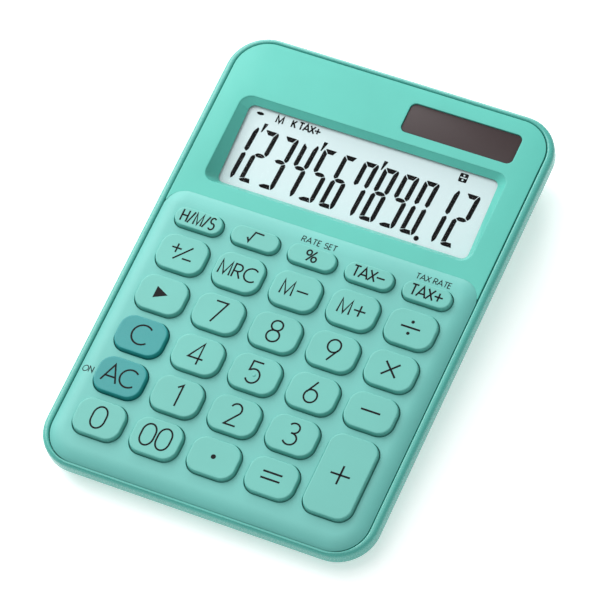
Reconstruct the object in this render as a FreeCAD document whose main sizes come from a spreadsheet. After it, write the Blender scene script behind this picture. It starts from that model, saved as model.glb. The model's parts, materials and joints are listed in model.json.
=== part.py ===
import FreeCAD, Part
import math
import os
import re
import Sketcher

# A twelve-digit desk calculator, in millimetres. Every piece is drawn in the face frame: x to the
# right, y towards the display, z out of the face, with z = 0 on the top of the rim. The face frame
# is tilted about x so that the rear stands higher. Pieces of the underside are drawn in the table
# frame, where z = 0 is the table top.

DIMENSIONS = {
    # outer case
    "body_width": 105,
    "body_length": 149.5,
    "body_corner": 12.3,
    "overall_height": 22.8,
    "tilt": 5,
    "foot_height": 1,
    "rim_drop": 4,
    "rim_round": 1.3,
    "rim_inner_round": 0.6,
    "deck_width": 100.5,
    "deck_length": 146.5,
    "deck_corner": 10.4,
    "deck_drop": 2.4,
    "deck_shift": -0.2,
    "wall": 1.6,
    "case_inset": 1,
    "case_draft": 20,
    "case_bend": 2.5,
    "case_inner_bend": 1,
    "inner_corner": 3,
    "sharp_corner": 0.4,
    "overshoot": 1,
    # tabs that hold the display panel
    "tab_x": 30,
    "tab_y": 70.1,
    "tab_width": 8,
    "tab_depth": 1.2,
    "tab_length": 2.4,
    "tab_root": 0.4,
    # keyboard panel
    "panel_gap": 0.25,
    "keyboard_top": 18.6,
    "keyboard_corner": 6.5,
    "pad_rise": 1.2,
    "pad_roof": 2.2,
    "pad_slope": 4.4,
    "pad_slope_drop": 1.5,
    "panel_lip": 1,
    # keys
    "column_pitch": 18.25,
    "row_pitch": 14.15,
    "first_row": -2.3,
    "small_row": 9.4,
    "key_width": 15.2,
    "key_depth": 11.6,
    "key_corner": 4.2,
    "small_key_depth": 6.3,
    "small_key_corner": 3,
    "key_top": 2.7,
    "key_draft": 20,
    "key_edge": 0.5,
    "key_gap": 0.3,
    "key_wall": 1.2,
    "flange_lip": 1,
    "flange_top": -1.2,
    "flange_thickness": 0.8,
    "stem_radius": 1.5,
    "stem_end": -2.5,
    "nub_x": 0.1,
    "nub_y": -0.6,
    "nub_height": 0.7,
    # keypad and board
    "keypad_width": 93,
    "keypad_length": 80.8,
    "keypad_middle": -25,
    "sheet_top": -4.2,
    "sheet_thickness": 0.8,
    "dome_radius": 3.9,
    "dome_height": 1.6,
    "dome_draft": 25,
    "dome_wall": 1.1,
    "dome_roof": 0.9,
    "pill_radius": 1.3,
    "pill_root": 0.4,
    "board_width": 94,
    "board_length": 81.4,
    "board_thickness": 1.2,
    "board_room": 0.6,
    "chip_radius": 5,
    "chip_height": 1.2,
    "chip_bend": 0.9,
    "can_x": 18,
    "can_radius": 2,
    "can_height": 4.5,
    "chip_row": 4,
    # display
    "recess_width": 85.6,
    "recess_depth": 30.4,
    "recess_middle": 39.1,
    "recess_corner": 3.5,
    "recess_wall": 2.4,
    "display_hole_depth": 48.6,
    "display_hole_middle": 46.3,
    "tongue": 4.6,
    "tongue_corner": 0.1,
    "notch_depth": 40,
    "notch_gap": 0.15,
    "seam": 0.1,
    "surround_width": 88.6,
    "surround_depth": 34,
    "surround_corner": 4,
    "surround_drop": 5,
    "trim_width": 90,
    "trim_depth": 34.7,
    "trim_shift": -0.65,
    "trim_drop": 10,
    "view_width": 80.4,
    "view_depth": 25.96,
    "view_corner": 2,
    "view_middle": 39.7,
    "view_drop": 3.45,
    "view_tilt": 6.4,
    "lens_width": 84,
    "lens_depth": 29.4,
    "lens_corner": 2.5,
    "lens_thickness": 0.8,
    "lens_gap": 0.2,
    "glass_width": 82,
    "glass_depth": 27.4,
    "glass_shift": 0.9,
    "glass_thickness": 0.95,
    "ledge_depth": 29.2,
    "reflector_width": 81,
    "reflector_depth": 27,
    "reflector_thickness": 0.2,
    "holder_width": 87.6,
    "holder_depth": 33,
    "holder_height": 4.1,
    "holder_gap": 0.02,
    "film_slot_width": 60,
    "film_slot_depth": 8,
    "film_slot_shift": -17,
    "film_slot_drop": 1.9,
    # solar cell
    "solar_x": 23.85,
    "solar_y": 62.85,
    "solar_width": 35.7,
    "solar_depth": 10.1,
    "solar_corner": 1.9,
    "solar_recess": 0.4,
    "solar_plate": 0.5,
    "solar_ledge": 1.2,
    "window_gap": 0.1,
    "cell_gap": 0.2,
    "cell_thickness": 1.1,
    "cell_pad_width": 29.7,
    "cell_pad_depth": 6.5,
    "cell_pad_thickness": 1.2,
    # fasteners
    "case_screw_x": 30,
    "front_screw_y": -68.6,
    "middle_screw_y": 19.4,
    "screw_radius": 0.95,
    "screw_head_radius": 1.8,
    "screw_head": 1.2,
    "screw_seat": -7.9,
    "screw_tip": -3.2,
    "screw_gap": 0.2,
    "head_gap": 0.25,
    "hole_gap": 0.15,
    "pilot_gap": 0.05,
    "pilot_depth": 3.1,
    "boss_radius": 2,
    "boss_end": -6,
    "front_tower_radius": 2.7,
    "front_tower_height": 2.4,
    "middle_tower_radius": 3.6,
    "middle_tower_height": 10.2,
    "board_screw_radius": 0.65,
    "board_screw_grip": 2.7,
    "board_head_radius": 1.2,
    "board_head": 0.8,
    "board_boss_radius": 1.6,
    "board_boss_room": 0.3,
    "board_pilot_depth": 3,
    # battery, in the table frame
    "battery_x": -4.5,
    "battery_y": 50,
    "battery_radius": 5.8,
    "battery_height": 5.4,
    "battery_gap": 0.05,
    "cell_step": 0.4,
    "cell_rim": 1.2,
    "well_radius": 6.15,
    "well_top": 8.6,
    "well_roof": 1.2,
    "floor_bite": 1,
    "block_corner": 2,
    "block_height": 4,
    "cover_x": 0,
    "cover_width": 29,
    "cover_depth": 19,
    "cover_thickness": 1.3,
    "cover_wall": 1.5,
    "cover_corner": 1.5,
    "cover_gap": 0.1,
    "cover_fit": 0.2,
    "cover_sink": 0.6,
    "cover_screw_x": 10,
    "cover_screw_length": 4.4,
    "cover_pilot_depth": 4.6,
    "cover_head": 1.05,
    "cover_head_drop": 0.5,
    "contact_radius": 4,
    "contact_thickness": 0.25,
    "touch_gap": 0.02,
    "spring_radius": 1,
    "pin_radius": 0.5,
    "pin_rise": 1.6,
    "pin_hole_radius": 0.7,
    "blade_thickness": 0.3,
    "blade_width": 3,
    "blade_height": 8,
    "blade_slot_width": 1.2,
    "blade_slot_depth": 3.4,
    "blade_slot_shift": 0.1,
    # leads and film
    "lead_radius": 0.5,
    "lead_gap": 0.05,
    "ribbon_width": 44,
    "ribbon_thickness": 0.15,
    # feet, in the table frame
    "foot_radius": 4.5,
    "foot_x": 36,
    "front_foot_y": -60,
    "rear_foot_y": 58,
    "foot_bend": 0.4,
    # label, in the table frame
    "label_width": 46,
    "label_depth": 20,
    "label_corner": 1.5,
    "label_thickness": 0.1,
    "label_y": 8,
}

KEYS = [
    ("hours_minutes_seconds", 0, 0, "small"),
    ("square_root", 1, 0, "small"),
    ("percent", 2, 0, "small"),
    ("tax_minus", 3, 0, "small"),
    ("tax_plus", 4, 0, "small"),
    ("sign_change", 0, 1, "plain"),
    ("memory_recall", 1, 1, "plain"),
    ("memory_minus", 2, 1, "plain"),
    ("memory_plus", 3, 1, "plain"),
    ("divide", 4, 1, "plain"),
    ("backspace", 0, 2, "plain"),
    ("7", 1, 2, "plain"),
    ("8", 2, 2, "plain"),
    ("9", 3, 2, "plain"),
    ("multiply", 4, 2, "plain"),
    ("clear", 0, 3, "plain"),
    ("4", 1, 3, "plain"),
    ("5", 2, 3, "plain"),
    ("6", 3, 3, "plain"),
    ("subtract", 4, 3, "plain"),
    ("all_clear", 0, 4, "plain"),
    ("1", 1, 4, "plain"),
    ("2", 2, 4, "plain"),
    ("3", 3, 4, "plain"),
    ("add", 4, 4.5, "tall"),
    ("0", 0, 5, "plain"),
    ("double_zero", 1, 5, "plain"),
    ("decimal_point", 2, 5, "plain"),
    ("equals", 3, 5, "plain"),
]

BOARD_SCREWS = [(-1.5, 1.5), (1.5, 1.5), (-0.5, 2.5), (0.5, 2.5), (-1.5, 3.5), (1.5, 3.5)]

TURN = "rotation(vector(1; 0; 0); {})"
LEVEL = TURN.format(0)
FACE_HEIGHT = "(overall_height - body_length / 2 * sin(tilt))"
FACE = f"placement(vector(0; 0; {FACE_HEIGHT}); {TURN.format('tilt')})"
VIEW = f"placement(vector(0; view_middle; -view_drop); {TURN.format('view_tilt')})"
CASE_DEPTH = f"({FACE_HEIGHT} - foot_height)"
CASE_FLOOR = (
    f"placement(vector(0; -{CASE_DEPTH} * sin(tilt); -{CASE_DEPTH} * cos(tilt)); "
    f"{TURN.format('-tilt')})"
)

TABLE = "placement(vector(0; 0; 0); rotation(vector(0; 0; 1); 0))"

doc = FreeCAD.newDocument("desk_calculator")
dims = doc.addObject("Spreadsheet::Sheet", "dims")
for row, (alias, number) in enumerate(DIMENSIONS.items(), start=1):
    dims.set(f"A{row}", alias)
    dims.set(f"B{row}", str(number))
    dims.setAlias(f"B{row}", alias)
doc.recompute()

pieces = []


def bound(text):
    """An expression on the sheet: each dimension's name gets the sheet's name before it."""
    return re.sub(r"[a-z_]+", lambda m: f"dims.{m[0]}" if m[0] in DIMENSIONS else m[0], text)


def value(text):
    """What an expression comes to, as a plain number."""
    return float(dims.evalExpression(text))


def keep(piece, name, placement):
    """Name a finished piece and tie its placement to the sheet."""
    piece.Label = name
    piece.setExpression("Placement", bound(placement))
    pieces.append(piece)
    return piece


def new_body(name, placement=FACE):
    return keep(doc.addObject("PartDesign::Body", f"body_{name}"), name, placement)


def sketch_at(body, height="0", frame=TABLE):
    """A sketch parallel to the body's XY plane at a height, or at a height above a tilted frame."""
    sketch = body.newObject("Sketcher::SketchObject", "Sketch")
    plane = next(f for f in body.Origin.OriginFeatures if f.Role == "XY_Plane")
    sketch.AttachmentSupport = [(plane, "")]
    sketch.MapMode = "FlatFace"
    lift = f"placement(vector(0; 0; {height}); {LEVEL})"
    sketch.setExpression("AttachmentOffset", bound(f"{frame} * {lift}"))
    return sketch


def constrain(sketch, plain, sized):
    """Add plain constraints, then sized ones, each of which is bound to its expression."""
    first = sketch.ConstraintCount + len(plain)
    sketch.addConstraint(plain + [constraint for constraint, _ in sized])
    for index, (_, expression) in enumerate(sized, start=first):
        sketch.setExpression(f"Constraints[{index}]", bound(expression))


def add_rectangle(sketch, width, depth, radius, x="0", y="0", low_radius=None):
    """A rectangle centred on (x, y) with rounded corners; low_radius is for the two in front."""
    low_radius = low_radius or radius
    wide, deep, bend, low_bend = (value(text) for text in (width, depth, radius, low_radius))
    left, low = value(f"{x} - ({width}) / 2"), value(f"{y} - ({depth}) / 2")
    right, high = left + wide, low + deep
    corners = [
        (right - bend, high - bend, bend),
        (left + bend, high - bend, bend),
        (left + low_bend, low + low_bend, low_bend),
        (right - low_bend, low + low_bend, low_bend),
    ]
    first = sketch.GeometryCount
    arcs = []
    for quarter, (x_centre, y_centre, corner_radius) in enumerate(corners):
        centre = FreeCAD.Vector(x_centre, y_centre, 0)
        circle = Part.Circle(centre, FreeCAD.Vector(0, 0, 1), corner_radius)
        start = quarter * math.pi / 2
        arcs.append(Part.ArcOfCircle(circle, start, start + math.pi / 2))
    sides = [Part.LineSegment(arcs[i].EndPoint, arcs[(i + 1) % 4].StartPoint) for i in range(4)]
    sketch.addGeometry(arcs + sides)
    top, west, bottom, east = (first + 4 + side for side in range(4))
    link = Sketcher.Constraint
    plain = [link("Equal", first, first + 1), link("Equal", first + 2, first + 3)]
    for side in range(4):
        line, corner, following = first + 4 + side, first + side, first + (side + 1) % 4
        plain.append(link("Tangent", corner, 2, line, 1))
        plain.append(link("Tangent", line, 2, following, 1))
        plain.append(link("Vertical" if side % 2 else "Horizontal", line))
    sized = [
        (link("Radius", first, bend), radius),
        (link("Radius", first + 2, low_bend), low_radius),
        (link("DistanceX", west, 1, east, 1, wide), width),
        (link("DistanceY", bottom, 1, top, 1, deep), depth),
        (link("DistanceX", -1, 1, west, 1, left), f"{x} - ({width}) / 2"),
        (link("DistanceY", -1, 1, bottom, 1, low), f"{y} - ({depth}) / 2"),
    ]
    constrain(sketch, plain, sized)


def add_circle(sketch, radius, x="0", y="0"):
    """A circle centred on (x, y)."""
    centre = FreeCAD.Vector(value(x), value(y), 0)
    circle = Part.Circle(centre, FreeCAD.Vector(0, 0, 1), value(radius))
    index = sketch.addGeometry(circle)
    sized = [
        (Sketcher.Constraint("Radius", index, value(radius)), radius),
        (Sketcher.Constraint("DistanceX", -1, 1, index, 3, centre.x), x),
        (Sketcher.Constraint("DistanceY", -1, 1, index, 3, centre.y), y),
    ]
    constrain(sketch, [], sized)


def rectangle(body, width, depth, radius, x="0", y="0", low_radius=None, **where):
    sketch = sketch_at(body, **where)
    add_rectangle(sketch, width, depth, radius, x, y, low_radius)
    return sketch


def circles(body, radius, places, **where):
    sketch = sketch_at(body, **where)
    for x, y in places:
        add_circle(sketch, radius, x, y)
    return sketch


def extrude(body, kind, sketch, length, upward, draft=None):
    """A Pad or Pocket of the sketch that runs up or down by a length; draft narrows it."""
    feature = body.newObject(f"PartDesign::{kind}", kind)
    feature.Profile = sketch
    feature.setExpression("Length", bound(length))
    feature.Reversed = upward if kind == "Pocket" else not upward
    if draft:
        feature.setExpression("TaperAngle", bound(f"-{draft}"))
    return feature


def pad(body, sketch, length, upward=True, draft=None):
    return extrude(body, "Pad", sketch, length, upward, draft)


def pocket(body, sketch, length, upward=False):
    return extrude(body, "Pocket", sketch, length, upward)


def level_edges(shape, height):
    """The names of the edges that lie flat at a height."""
    names = []
    for index, edge in enumerate(shape.Edges, start=1):
        box = edge.BoundBox
        if abs(box.ZMin - height) < 0.01 and abs(box.ZMax - height) < 0.01:
            names.append(f"Edge{index}")
    return names


def round_edges(body, radius, names):
    """Fillet the named edges of the body's tip."""
    base = body.Tip
    fillet = body.newObject("PartDesign::Fillet", "Fillet")
    fillet.Base = (base, names)
    fillet.setExpression("Radius", bound(radius))
    doc.recompute()
    return fillet


def column_x(column):
    return f"({column} - 2) * column_pitch"


def row_y(row):
    return "small_row" if row == 0 else f"(first_row - ({row} - 1) * row_pitch)"


def screw_place(point):
    """The spot between four keys that holds a board screw."""
    columns, rows = point
    return f"{columns} * column_pitch", f"(first_row - ({rows} - 1) * row_pitch)"


def key_outline(size):
    """The depth and the corner radius of one size of key."""
    depth = {"small": "small_key_depth", "plain": "key_depth", "tall": "(key_depth + row_pitch)"}[size]
    return depth, "small_key_corner" if size == "small" else "key_corner"


def make_key(name, column, row, size):
    """A moulded cap: tapered head, straight skirt, side lips under the panel and a hollow with a stem."""
    depth, corner = key_outline(size)
    place = f"placement(vector({column_x(column)}; {row_y(row)}; 0); {LEVEL})"
    body = new_body(f"key_{name}", f"{FACE} * {place}")
    skirt = rectangle(body, "key_width", depth, corner, height="flange_top")
    pad(body, skirt, "pad_rise - flange_top")
    head = rectangle(body, "key_width", depth, corner, height="pad_rise")
    pad(body, head, "key_top - pad_rise", draft="key_draft")
    lips = rectangle(body, "key_width + 2 * flange_lip", depth, corner, height="flange_top")
    pad(body, lips, "flange_thickness", upward=False)
    doc.recompute()
    round_edges(body, "key_edge", level_edges(body.Tip.Shape, value("key_top")))
    hollow = rectangle(
        body,
        "key_width - 2 * key_wall",
        f"{depth} - 2 * key_wall",
        f"{corner} - key_wall",
        height="flange_top - flange_thickness",
    )
    pocket(body, hollow, "key_top - key_wall - flange_top + flange_thickness", upward=True)
    stem = circles(body, "stem_radius", [("0", "0")], height="stem_end")
    pad(body, stem, "key_top - key_wall / 2 - stem_end")
    if name == "5":
        nub = circles(body, "key_edge", [("nub_x", "nub_y")], height="key_top - key_edge")
        pad(body, nub, "nub_height")


def make_upper_case():
    """The rim and its sunk deck, open under the keyboard and the display, with four screw bosses."""
    body = new_body("upper_case")
    block = rectangle(body, "body_width", "body_length", "body_corner")
    pad(body, block, "rim_drop", upward=False)
    doc.recompute()
    round_edges(body, "rim_round", level_edges(body.Tip.Shape, 0))
    tray = rectangle(body, "deck_width", "deck_length", "deck_corner", y="deck_shift")
    pocket(body, tray, "deck_drop")
    doc.recompute()
    inner = [e for e in level_edges(body.Tip.Shape, 0) if is_inner(body.Tip.Shape, e)]
    round_edges(body, "rim_inner_round", inner)
    sizes = ("board_width + board_room", "board_length + board_room", "inner_corner")
    keyboard_hole = rectangle(body, *sizes, y="keypad_middle")
    pocket(body, keyboard_hole, "rim_drop")
    sizes = ("recess_width + 2 * recess_wall", "display_hole_depth", "surround_corner")
    display_hole = rectangle(body, *sizes, y="display_hole_middle")
    pocket(body, display_hole, "rim_drop")
    bosses = circles(body, "boss_radius", case_screw_places(), height="-rim_drop")
    pad(body, bosses, "-boss_end - rim_drop", upward=False)
    tabs = sketch_at(body, height="tab_root - rim_drop")
    for x in ("-tab_x", "tab_x"):
        add_rectangle(tabs, "tab_width", "tab_depth", "sharp_corner", x, "tab_y")
    pad(body, tabs, "tab_length", upward=False)
    pilots = circles(body, "screw_radius + pilot_gap", case_screw_places(), height="boss_end")
    pocket(body, pilots, "pilot_depth", upward=True)


def is_inner(shape, name):
    """True for an edge that lies inside the rounded outer rim."""
    edge = shape.Edges[int(name[4:]) - 1]
    middle = edge.valueAt((edge.FirstParameter + edge.LastParameter) / 2)
    half_width, half_length = value("deck_width / 2"), value("deck_length / 2 - deck_shift")
    return abs(middle.x) < half_width + 0.01 and abs(middle.y) < half_length + 0.01


def case_screw_places():
    sides = ("case_screw_x", "-case_screw_x")
    return [(x, y) for x in sides for y in ("front_screw_y", "middle_screw_y")]


PAD_BOTTOM = "(deck_shift - deck_length / 2 + panel_gap)"
PAD_WIDTH = "(deck_width - 2 * panel_gap)"


def make_keyboard_panel():
    """The raised keyboard cover: a sloped edge, twenty-nine key holes and six screw bosses."""
    body = new_body("keyboard_panel")
    slab = rectangle(
        body,
        PAD_WIDTH,
        f"keyboard_top - {PAD_BOTTOM}",
        "keyboard_corner",
        y=f"(keyboard_top + {PAD_BOTTOM}) / 2",
        low_radius="deck_corner - panel_gap",
        height="-deck_drop",
    )
    pad(body, slab, "deck_drop + pad_rise")
    doc.recompute()
    block = body.Tip
    slope = body.newObject("PartDesign::Chamfer", "Chamfer")
    slope.Base = (block, level_edges(block.Shape, value("pad_rise")))
    slope.ChamferType = "Two distances"
    slope.FlipDirection = False
    slope.setExpression("Size", bound("pad_slope_drop"))
    slope.setExpression("Size2", bound("pad_slope"))
    sizes = ("board_width", "board_length - panel_lip", "inner_corner")
    under = rectangle(body, *sizes, y="keypad_middle", height="-deck_drop")
    pocket(body, under, "deck_drop + pad_rise - pad_roof", upward=True)
    board_top = "sheet_top - sheet_thickness"
    bosses = circles(body, "board_boss_radius", map(screw_place, BOARD_SCREWS), height=board_top)
    pad(body, bosses, f"pad_rise - pad_roof / 2 - ({board_top})")
    for _, column, row, size in KEYS:
        depth, corner = key_outline(size)
        sizes = ("key_width + 2 * key_gap", f"{depth} + 2 * key_gap", f"{corner} + key_gap")
        hole = rectangle(body, *sizes, column_x(column), row_y(row), height="pad_rise")
        pocket(body, hole, "deck_drop + pad_rise + overshoot")
    pilot_radius = "board_screw_radius + pilot_gap"
    pilots = circles(body, pilot_radius, map(screw_place, BOARD_SCREWS), height=board_top)
    pocket(body, pilots, "board_pilot_depth", upward=True)


def make_display_panel():
    """The flat top panel: a sloped funnel down to the display and a sunk seat for the solar window."""
    body = new_body("display_panel")
    rear = "(deck_shift + deck_length / 2 - panel_gap)"
    plate = rectangle(
        body,
        PAD_WIDTH,
        f"{rear} - keyboard_top + tongue",
        "deck_corner - panel_gap",
        y=f"({rear} + keyboard_top - tongue) / 2",
        low_radius="tongue_corner",
    )
    pad(body, plate, "deck_drop", upward=False)
    notch = rectangle(
        body,
        f"{PAD_WIDTH} + 2 * seam",
        "notch_depth",
        "keyboard_corner + seam",
        y="keyboard_top + notch_gap - notch_depth / 2",
    )
    pocket(body, notch, "deck_drop")
    sizes = ("surround_width", "surround_depth", "surround_corner")
    surround = rectangle(body, *sizes, y="recess_middle", height="-deck_drop")
    pad(body, surround, "surround_drop", upward=False)
    trim = rectangle(body, "trim_width", "trim_depth", "sharp_corner", y="trim_shift", frame=VIEW)
    pocket(body, trim, "trim_drop")
    mouth = rectangle(body, "recess_width", "recess_depth", "recess_corner", y="recess_middle")
    view = rectangle(body, "view_width", "view_depth", "view_corner", frame=VIEW)
    funnel = body.newObject("PartDesign::SubtractiveLoft", "Funnel")
    funnel.Profile = mouth
    funnel.Sections = [view]
    funnel.Ruled = True
    seat = rectangle(body, "solar_width", "solar_depth", "solar_corner", "solar_x", "solar_y")
    pocket(body, seat, "solar_recess + solar_plate")
    sizes = ("solar_width - 2 * solar_ledge", "solar_depth - 2 * solar_ledge", "sharp_corner")
    opening = rectangle(body, *sizes, "solar_x", "solar_y")
    pocket(body, opening, "deck_drop + overshoot")


def make_plate(name, width, depth, corner, thickness, top, placement=FACE, x="0", y="0"):
    """A flat rounded plate whose upper face lies at a height."""
    body = new_body(name, placement)
    pad(body, rectangle(body, width, depth, corner, x, y, height=top), thickness, upward=False)
    return body


def make_display():
    """The lens, the glass with its longer rear plate, the reflector and the holder, in the view frame."""
    view = f"{FACE} * {VIEW}"
    make_plate("display_window", "lens_width", "lens_depth", "lens_corner", "lens_thickness", "0", view)
    sizes = ("glass_width", "glass_depth", "sharp_corner", "glass_thickness")
    glass = make_plate("lcd_glass", *sizes, "-lens_thickness", view, y="glass_shift")
    ledge_top = "-lens_thickness - glass_thickness"
    ledge = rectangle(glass, "glass_width", "ledge_depth", "sharp_corner", height=ledge_top)
    pad(glass, ledge, "glass_thickness", upward=False)
    sizes = ("reflector_width", "reflector_depth", "sharp_corner", "reflector_thickness")
    make_plate("lcd_reflector", *sizes, f"{ledge_top} - glass_thickness", view, y="glass_shift")
    sizes = ("holder_width", "holder_depth", "inner_corner", "holder_height")
    holder = make_plate("lcd_holder", *sizes, "-holder_gap", view)
    stack = "holder_gap + lens_thickness + 2 * glass_thickness"
    sizes = (f"{size} + 2 * lens_gap" for size in ("lens_width", "lens_depth"))
    pocket(holder, rectangle(holder, *sizes, "lens_corner + lens_gap"), stack)
    doc.recompute()
    sizes = (f"{size} + 2 * lens_gap" for size in ("reflector_width", "reflector_depth"))
    bed = rectangle(holder, *sizes, "sharp_corner", y="glass_shift")
    pocket(holder, bed, f"{stack} + reflector_thickness")
    slot = rectangle(holder, "film_slot_width", "film_slot_depth", "sharp_corner", y="film_slot_shift")
    pocket(holder, slot, "film_slot_drop")


def make_solar():
    """The tinted window, the cell glued under it and its foam backing."""
    plate_top = "-solar_recess"
    cell_top = "-solar_recess - solar_plate"
    where = {"x": "solar_x", "y": "solar_y"}
    sizes = (f"{size} - 2 * window_gap" for size in ("solar_width", "solar_depth"))
    make_plate("solar_window", *sizes, "solar_corner - window_gap", "solar_plate", plate_top, **where)
    sizes = (f"{size} - 2 * (solar_ledge + cell_gap)" for size in ("solar_width", "solar_depth"))
    make_plate("solar_cell", *sizes, "sharp_corner", "cell_thickness", cell_top, **where)
    sizes = ("cell_pad_width", "cell_pad_depth", "sharp_corner", "cell_pad_thickness")
    make_plate("solar_cell_pad", *sizes, f"{cell_top} - cell_thickness", **where)


def make_keypad():
    """The rubber sheet with a hollow dome and a conductive pill under every key."""
    sizes = ("keypad_width", "keypad_length", "inner_corner", "sheet_thickness")
    body = make_plate("rubber_keypad", *sizes, "sheet_top", y="keypad_middle")
    places = [(column_x(column), row_y(row)) for _, column, row, _ in KEYS]
    domes = circles(body, "dome_radius", places, height="sheet_top")
    pad(body, domes, "dome_height", draft="dome_draft")
    hollow = circles(body, "dome_radius - dome_wall", places, height="sheet_top - sheet_thickness")
    pocket(body, hollow, "sheet_thickness + dome_height - dome_roof", upward=True)
    pills = circles(body, "pill_radius", places, height="sheet_top")
    pad(body, pills, "dome_height - pill_root")
    room = "board_boss_radius + board_boss_room"
    holes = circles(body, room, map(screw_place, BOARD_SCREWS), height="sheet_top")
    pocket(body, holes, "sheet_thickness")


def make_board():
    """The circuit board under the keypad with its sealed chip and its capacitor."""
    top = "sheet_top - sheet_thickness"
    sizes = ("board_width", "board_length", "inner_corner", "board_thickness")
    body = make_plate("circuit_board", *sizes, top, y="keypad_middle")
    holes = circles(body, "board_screw_radius + hole_gap", map(screw_place, BOARD_SCREWS), height=top)
    pocket(body, holes, "board_thickness")
    under = f"{top} - board_thickness"
    chip = new_body("chip_blob")
    blob = circles(chip, "chip_radius", [("0", "chip_row")], height=under)
    pad(chip, blob, "chip_height", upward=False)
    doc.recompute()
    round_edges(chip, "chip_bend", level_edges(chip.Tip.Shape, value(f"{under} - chip_height")))
    can = new_body("capacitor")
    tube = circles(can, "can_radius", [("can_x", "chip_row")], height=under)
    pad(can, tube, "can_height", upward=False)


def add_wedge(body, inset, lift, bend):
    """The tray's tapered block, cut off flat at a height above the underside and rounded there."""
    width, length = (f"{size} - 2 * ({inset})" for size in ("body_width", "body_length"))
    outline = rectangle(body, width, length, f"body_corner - ({inset})", height="-rim_drop")
    pad(body, outline, "overall_height", upward=False, draft="case_draft")
    sizes = ("2 * body_width", "2 * body_length", "body_corner")
    cutter = rectangle(body, *sizes, frame=CASE_FLOOR, height=lift)
    pocket(body, cutter, "overall_height")
    doc.recompute()
    round_edges(body, bend, edges_on(body.Tip.Shape, floor_plane(value(lift))))


def make_lower_case():
    """The tapered tray: hollow, with four screw towers and a battery well under its own cover."""
    body = new_body("lower_case")
    add_wedge(body, "case_inset", "0", "case_bend")
    core = doc.addObject("PartDesign::Body", "case_core")
    add_wedge(core, "case_inset + wall", "wall", "case_inner_bend")
    hollow = body.newObject("PartDesign::Boolean", "Hollow")
    hollow.Type = "Cut"
    hollow.setObjects([core])
    doc.recompute()
    front = [(x, "front_screw_y") for x in ("case_screw_x", "-case_screw_x")]
    middle = [(x, "middle_screw_y") for x in ("case_screw_x", "-case_screw_x")]
    front_towers = circles(body, "front_tower_radius", front, height="boss_end")
    pad(body, front_towers, "front_tower_height", upward=False)
    middle_towers = circles(body, "middle_tower_radius", middle, height="boss_end")
    pad(body, middle_towers, "middle_tower_height", upward=False)
    head_wells = circles(body, "screw_head_radius + head_gap", front + middle, height="screw_seat")
    pocket(body, head_wells, "overall_height")
    screw_holes = circles(body, "screw_radius + screw_gap", front + middle, height="boss_end")
    pocket(body, screw_holes, "boss_end - screw_seat + overshoot")
    cell_place = [("battery_x", "battery_y")]
    on_floor = {"frame": CASE_FLOOR, "height": "floor_bite"}
    sizes = ("cover_width + 2 * cover_wall", "cover_depth + 2 * cover_wall", "block_corner")
    pad(body, rectangle(body, *sizes, "cover_x", "battery_y", **on_floor), "block_height")
    tower = circles(body, "well_radius + wall", cell_place, **on_floor)
    pad(body, tower, "well_top - foot_height + well_roof - floor_bite")
    sizes = ("cover_width", "cover_depth", "cover_corner")
    seat = rectangle(body, *sizes, "cover_x", "battery_y", frame=CASE_FLOOR)
    pocket(body, seat, "cover_thickness + cover_gap", upward=True)
    well = circles(body, "well_radius", cell_place, frame=CASE_FLOOR)
    pocket(body, well, "well_top - foot_height", upward=True)
    pilot = circles(body, "screw_radius + pilot_gap", [("cover_screw_x", "battery_y")], frame=CASE_FLOOR)
    pocket(body, pilot, "cover_pilot_depth", upward=True)
    through = "well_top + well_roof + overshoot"
    sizes = ("blade_slot_width", "blade_slot_depth", "sharp_corner")
    blade_x = "battery_x - well_radius + blade_slot_shift"
    blade_slot = rectangle(body, *sizes, blade_x, "battery_y", frame=CASE_FLOOR)
    pocket(body, blade_slot, through, upward=True)
    pin_hole = circles(body, "pin_hole_radius", cell_place, frame=CASE_FLOOR)
    pocket(body, pin_hole, through, upward=True)


def floor_plane(lift):
    """A point on the plane at a height above the underside, and its direction, in the face frame."""
    tilt = math.radians(value("tilt"))
    normal = FreeCAD.Vector(0, math.sin(tilt), math.cos(tilt))
    return normal * (lift - value(CASE_DEPTH)), normal


def edges_on(shape, plane):
    """The names of the edges that lie in a plane."""
    point, normal = plane
    names = []
    for index, edge in enumerate(shape.Edges, start=1):
        span = edge.ParameterRange
        spots = [edge.valueAt(span[0] + share * (span[1] - span[0])) for share in (0, 0.5, 1)]
        if all(abs((spot - point).dot(normal)) < 0.01 for spot in spots):
            names.append(f"Edge{index}")
    return names


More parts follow.
